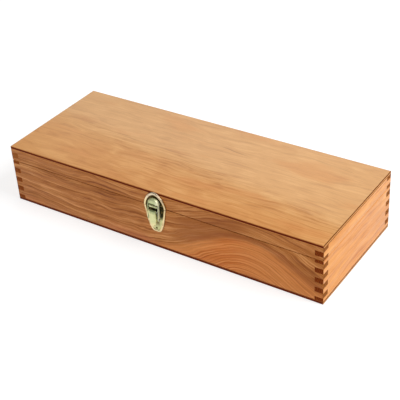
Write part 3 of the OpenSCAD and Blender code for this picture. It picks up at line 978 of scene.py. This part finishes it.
# The hook in side view, as (out, up): the face away from the wood and the one towards it
outer = [(0.5, ROLL[1] - ROLL_R), (1.6, ROLL[1] - ROLL_R)] + arc(ROLL, ROLL_R, -90, 30, 14) + [
    (TONGUE_OUT + 0.1, ROLL[1] + 1.35), (TONGUE_OUT, ROLL[1] + 1.9), (TONGUE_OUT, 6.4),
    (TONGUE_OUT, TONGUE_TOP - 0.5), (TONGUE_OUT - 0.3, TONGUE_TOP - 0.08),
]
inner = [(0.5, ROLL[1] - ROLL_R + SHEET), (1.6, ROLL[1] - ROLL_R + SHEET)]
inner += arc(ROLL, ROLL_R - SHEET, -90, 30, 14) + [
    (TONGUE_OUT - 0.75, ROLL[1] + 1.0), (TONGUE_OUT - SHEET, ROLL[1] + 1.6),
    (TONGUE_OUT - SHEET, 6.4), (TONGUE_OUT - SHEET, TONGUE_TOP - 0.5),
    (TONGUE_OUT - 0.55, TONGUE_TOP - 0.08),
]


def hook_half(up):
    """Half the hook's width at a height: straight, then rounded like the hood that covers it."""
    if up <= SHOULDER:
        return HOOK_W / 2
    t = min(1.0, (up - SHOULDER) / (TONGUE_TOP - SHOULDER))
    return min(HOOK_W / 2, (ARM_X - 0.4) * max(1 - t ** 2.2, 0.16) ** (1 / 2.2))


def mid(p, q, t):
    """The point a share t of the way from p to q."""
    return (p[0] + (q[0] - p[0]) * t, p[1] + (q[1] - p[1]) * t)


rows = []
for o, i in zip(outer, inner):
    wo, wi = hook_half(o[1]), hook_half(i[1])
    e = 1.1 if o[1] < ROLL[1] + 1.3 else 0.3
    right_end = []
    for a in range(0, 91, 15):
        inset, deep = 1 - math.sin(math.radians(a)), 1 - math.cos(math.radians(a))
        right_end.append((wo - e * inset, mid(o, i, 0.7 * deep)))
    left_end = [(-x, p) for x, p in right_end]
    ring = left_end[:1] + [(-0.5 * wo, o), (0.0, o), (0.5 * wo, o)] + right_end
    ring += [(wi - 0.12, i), (-wi + 0.12, i)] + left_end[:0:-1]
    rows.append([bm.verts.new(on_front(x, p[1], p[0])) for x, p in ring])
skin(bm, rows, closed=True)
bm.faces.new(rows[0])
bm.faces.new(rows[-1][::-1])


def strike_index(f):
    """As plate_index, with the tongue above the roll in the recess's metal, painted dark as the
    shade under the hood.
    """
    c = f.calc_center_median()
    if -HALF_D - c.y > 1.9 and c.z > PART_Z + ROLL[1] + 1.25:
        return 1
    return plate_index(f)


obj = finish_mesh("latch_strike_plate_shown", bm, PLATE_METALS, strike_index, 42)
place(obj, "lid", "latch_brass", "latch_strike_plate")

nails("latch_base_nails_shown", "case", BASE_NAILS, "latch_base_nails")
nails("latch_strike_nails_shown", "lid", STRIKE_NAILS, "latch_strike_nails")

# Lever: a crowned, tapered thumb plate with two lugs
bm = bmesh.new()


def lever_half(up):
    """Half the thumb plate's width at a height, its round foot corners and small tip included."""
    t = (LEVER_TOP - up) / LEVER_LEN
    half = LEVER_W / 2 - LEVER_TAPER * min(t, 1.0)
    if up < LEVER_FOOT + LEVER_CORNER:
        k = (LEVER_FOOT + LEVER_CORNER - up) / LEVER_CORNER
        if k <= 1:
            half -= LEVER_CORNER * (1 - math.sqrt(max(0.0, 1 - k * k)))
    if up < LEVER_FOOT + 1e-6 or half < TIP_W / 2:
        c = LEVER_FOOT - TIP_LEN + TIP_W / 2
        half = TIP_W / 2 if up >= c else math.sqrt(max((TIP_W / 2) ** 2 - (c - up) ** 2, 0.0004))
    return half


def lever_front(c, up):
    """How far out the thumb plate's face stands: crowned across, dished a little along, round at
    its edges. c is the place across, from -1 to 1."""
    crown = 0.42 * c * c + (0.16 if abs(c) > 0.97 else 0.0)
    t = (LEVER_TOP - up) / (LEVER_LEN + TIP_LEN)
    dish = 0.35 * math.sin(math.pi * min(1.0, max(0.0, t))) ** 2
    top_round = 0.45 * max(0.0, 1 - (LEVER_TOP - up) / 0.9) ** 2
    return LEVER_OUT - crown - dish * (1 - 0.4 * c * c) - top_round


def lever_rear(c, up):
    return max(LEVER_BACK - 0.55, lever_front(c, up) - 0.8)


def quarter_rows(foot, radius, first, step):
    """Heights that round off a corner, closer together towards foot."""
    return [foot + radius * (1 - math.sin(math.radians(a))) for a in range(first, 91, step)]


ups = [LEVER_TOP, LEVER_TOP - 0.12, LEVER_TOP - 0.35]
ups += [LEVER_TOP - 1.0 - k * 0.9 for k in range(15)]
ups = [u for u in ups if u > LEVER_FOOT + 1.3] + quarter_rows(LEVER_FOOT, LEVER_CORNER, 0, 15)
ups += [LEVER_FOOT - 0.02, LEVER_FOOT - 0.2]
ups += quarter_rows(LEVER_FOOT - TIP_LEN, TIP_W / 2, 10, 16)
columns = [-1.0, -0.94, -0.8, -0.6, -0.4, -0.2, 0.0, 0.2, 0.4, 0.6, 0.8, 0.94, 1.0]


def lever_row(up, depth):
    return [bm.verts.new(on_front(c * lever_half(up), up, depth(c, up))) for c in columns]


def border(rows):
    left, right = [r[0] for r in rows], [r[-1] for r in reversed(rows[:-1])]
    return left + rows[-1][1:] + right + rows[0][-2:0:-1]


front = [lever_row(u, lever_front) for u in ups]
rear = [lever_row(u, lever_rear) for u in ups]
skin(bm, front)
skin(bm, [r[::-1] for r in rear])
skin(bm, [border(front), border(rear)], closed=True)
lug = arc(PIVOT, LUG_R, 90, 180, 8) + [(LINK[0] - LUG_R, LINK[1])] + arc(LINK, LUG_R, 180, 270, 8)
lug += [(LEVER_OUT - 0.75, LINK[1] - LUG_R), (LEVER_OUT - 0.75, PIVOT[1] + LUG_R)]
for s in (-1, 1):
    sheet_shape(bm, lug, s * LUG_X, s * (LUG_X + SHEET))
# The turned-in top edge, round the pivot: (radius, degrees)
heel = [(3.12, 34.7), (2.96, 40), (2.84, 45), (2.74, 50), (2.66, 55), (2.6, 60), (2.58, 65)]
heel_points = [
    polar(PIVOT, r, a) for r, a in heel + [(r - SHEET, a) for r, a in reversed(heel)]
]
sheet_shape(bm, heel_points, -LEVER_W / 2 + 0.12, LEVER_W / 2 - 0.12)
obj = finish_mesh("latch_lever_shown", bm, [latch_lever_metal], smooth_angle=48)
place(obj, "lever", "latch_brass", "latch_lever")

# Link: hood and two arms
bm = bmesh.new()


def hood_rows(grow):
    """The hood's skin as rows that climb from its foot to the flat of its face: [(line, out)]."""
    half, top, out, r = ARM_X + grow, HOOD_TOP + grow, HOOD_BACK + grow, HOOD_R + grow
    levels = [(0.0, HOOD_FOOT), (0.0, (HOOD_FOOT + out - r) / 2)]
    for a in range(0, 91, 15):
        inset, rise = 1 - math.cos(math.radians(a)), math.sin(math.radians(a))
        levels.append((r * inset, out - r + r * rise))
    levels.append((r + 0.9, out))
    rows = []
    for inset, at in levels:
        line = [(half - inset, HOOD_START)]
        line += half_oval(half - inset, top - inset, 2.2, SHOULDER, steps=40)
        line = [p for p in line if p[1] >= HOOD_START - 1e-6]
        if len(line) > 2 and abs(line[1][1] - HOOD_START) < 1e-3:
            line = line[1:]
        rows.append((line, at))
    return rows


def evenly(line, steps):
    """The line cut again into steps of equal length, so that every row has as many points."""
    lengths = [0.0]
    for p, q in zip(line, line[1:]):
        lengths.append(lengths[-1] + math.dist(p, q))
    row, k = [], 0
    for s in range(steps + 1):
        want = lengths[-1] * s / steps
        while k < len(line) - 2 and lengths[k + 1] < want:
            k += 1
        span = lengths[k + 1] - lengths[k]
        share = 0.0 if span < 1e-9 else min(1.0, (want - lengths[k]) / span)
        row.append(mid(line[k], line[k + 1], share))
    return row


def hood_surface(grow):
    made = []
    for line, at in hood_rows(grow):
        row = evenly(line, 44)
        row[0] = (row[0][0], HOOD_START)
        row[-1] = (-row[0][0], HOOD_START)
        made.append([bm.verts.new(on_front(x, up, at)) for x, up in row])
    skin(bm, made)
    bm.faces.new(made[-1])
    return made


outside, inside = hood_surface(SHEET), hood_surface(0.0)
skin(bm, [outside[0], inside[0]])
for end in (0, -1):
    skin(bm, [[r[end] for r in outside], [r[end] for r in inside]])
bm.faces.new((outside[-1][0], outside[-1][-1], inside[-1][-1], inside[-1][0]))
arm = [(HOOD_FOOT + 0.05, HOOD_START + 0.6), (HOOD_FOOT + 0.25, HOOD_START - 1.5)]
arm += arc(LINK, LUG_R, 176, 360, 16)
arm += [(HOOD_BACK - 0.2, HOOD_START - 1.4), (HOOD_BACK - 0.9, HOOD_START + 0.6)]
for s in (-1, 1):
    sheet_shape(bm, arm, s * (ARM_X + 0.03), s * (ARM_X + SHEET - 0.02))
obj = finish_mesh("latch_link_shown", bm, [latch_hood_metal], smooth_angle=48)
place(obj, "link", "latch_brass", "latch_link")


def cross_pin(name, body, node, at, half, head=None):
    """A pin along X with rounded ends, or with rivet heads: (radius, thickness)."""
    if head:
        r, t = head
        profile = [
            (0.0, -half - t), (r * 0.6, -half - t), (r * 0.92, -half - t * 0.6),
            (r, -half - t * 0.1), (r, -half), (PIN_R, -half),
        ]
    else:
        profile = [(0.0, -half), (PIN_R * 0.6, -half), (PIN_R, -half + 0.3)]
    profile = profile + [(radius, -x) for radius, x in reversed(profile)]
    bm = bmesh.new()
    lathe(bm, profile, lambda a, b, x: on_front(x, at[1] + a, at[0] + b))
    obj = finish_mesh(name, bm, [pin_metal], smooth_angle=50)
    place(obj, body, "pin_steel", node)


cross_pin("latch_lever_pin_shown", "case", "latch_lever_pin", PIVOT, LUG_X + SHEET + 0.4)
cross_pin(
    "latch_link_pin_shown", "lever", "latch_link_pin", LINK, ARM_X + SHEET + 0.15, (1.2, 0.45)
)

# Hinges and screws keep their CAD shape, with edges softened by modifiers (widths in metres)
SCREW_EDGE, HINGE_EDGE, WELD_WITHIN = 0.00006, 0.00015, 1e-6
for node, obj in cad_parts.items():
    if "hinge" not in node:
        continue
    obj.data.materials.clear()
    obj.data.materials.append(pin_metal if node.endswith("pin") else hinge_metal)
    weld = obj.modifiers.new("weld", "WELD")
    weld.merge_threshold = WELD_WITHIN
    ease = obj.modifiers.new("ease", "BEVEL")
    ease.limit_method = "ANGLE"
    ease.angle_limit = math.radians(40)
    ease.width = SCREW_EDGE if "screws" in node else HINGE_EDGE
    ease.segments = 2

# ------------------------------------------------------------------ floor, light and camera
FLOOR_HALF, FLOOR_BELOW = 6000, 0.05
FLOOR_GLOW, WORLD_GLOW = 0.74, 0.36

floor_tone = Nodes("floor")
floor_place = floor_tone.coords()[0]
floor_grain = floor_tone.noise(floor_place, 0.02, 2.0, 0.5)
floor_tone.set(
    Base_Color=floor_tone.mix(floor_grain, (0.40, 0.40, 0.40), (0.44, 0.44, 0.44)),
    Roughness=0.9, Specular_IOR_Level=0.0,
    Emission_Color=(1.0, 1.0, 1.0), Emission_Strength=FLOOR_GLOW,
)
bm = bmesh.new()
bmesh.ops.create_grid(bm, x_segments=4, y_segments=4, size=FLOOR_HALF)
bmesh.ops.translate(bm, verts=bm.verts, vec=(0, 0, -FLOOR_BELOW))
ground = finish_mesh("floor", bm, [floor_tone.material])
ground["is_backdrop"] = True

world = bpy.data.worlds.new("studio")
world.use_nodes = True
background = world.node_tree.nodes["Background"]
background.inputs["Color"].default_value = (1.0, 1.0, 1.0, 1.0)
background.inputs["Strength"].default_value = WORLD_GLOW
scene = bpy.context.scene
scene.world = world
scene.view_settings.view_transform = "Standard"
scene.view_settings.look = "None"


def softbox(name, location, target, size, power):
    """A rectangular light, in metres and watts."""
    data = bpy.data.lights.new(name, "AREA")
    data.shape = "RECTANGLE"
    data.size, data.size_y = size
    data.energy = power
    light = bpy.data.objects.new(name, data)
    light.location = location
    towards = Vector(target) - Vector(location)
    light.rotation_euler = towards.to_track_quat("-Z", "Y").to_euler()
    scene.collection.objects.link(light)


softbox("key", (1.9, 0.35, 1.95), (0.0, 0.0, 0.02), (1.3, 1.3), 60.0)
softbox("front_glint", (0.70, -1.35, 0.50), (0.0, -0.07, 0.05), (0.20, 0.20), 1.0)
softbox("back_sheen", (-1.1, 1.7, 1.1), (0.0, 0.0, 0.03), (1.5, 0.7), 3.0)

# The camera was solved from the box's seven visible corners: its focal length in pixels, the
# directions of its right, up and back, and its place in metres
FOCAL_PX, IMAGE_PX, SENSOR = 1007.73, 400.0, 36.0
CAMERA_AXES = (
    (0.83547, 0.54671, -0.05564),
    (-0.26393, 0.48801, 0.83198),
    (0.48201, -0.68041, 0.55201),
)
CAMERA_AT = (0.46022, -0.64332, 0.53708)
camera_data = bpy.data.cameras.new("camera")
camera_data.sensor_width = SENSOR
camera_data.lens = FOCAL_PX * SENSOR / IMAGE_PX
camera_data.clip_start, camera_data.clip_end = 0.02, 50.0
camera = bpy.data.objects.new("camera", camera_data)
camera.matrix_world = Matrix([*zip(*CAMERA_AXES, CAMERA_AT), (0, 0, 0, 1)])
scene.collection.objects.link(camera)
scene.camera = camera

low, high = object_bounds()
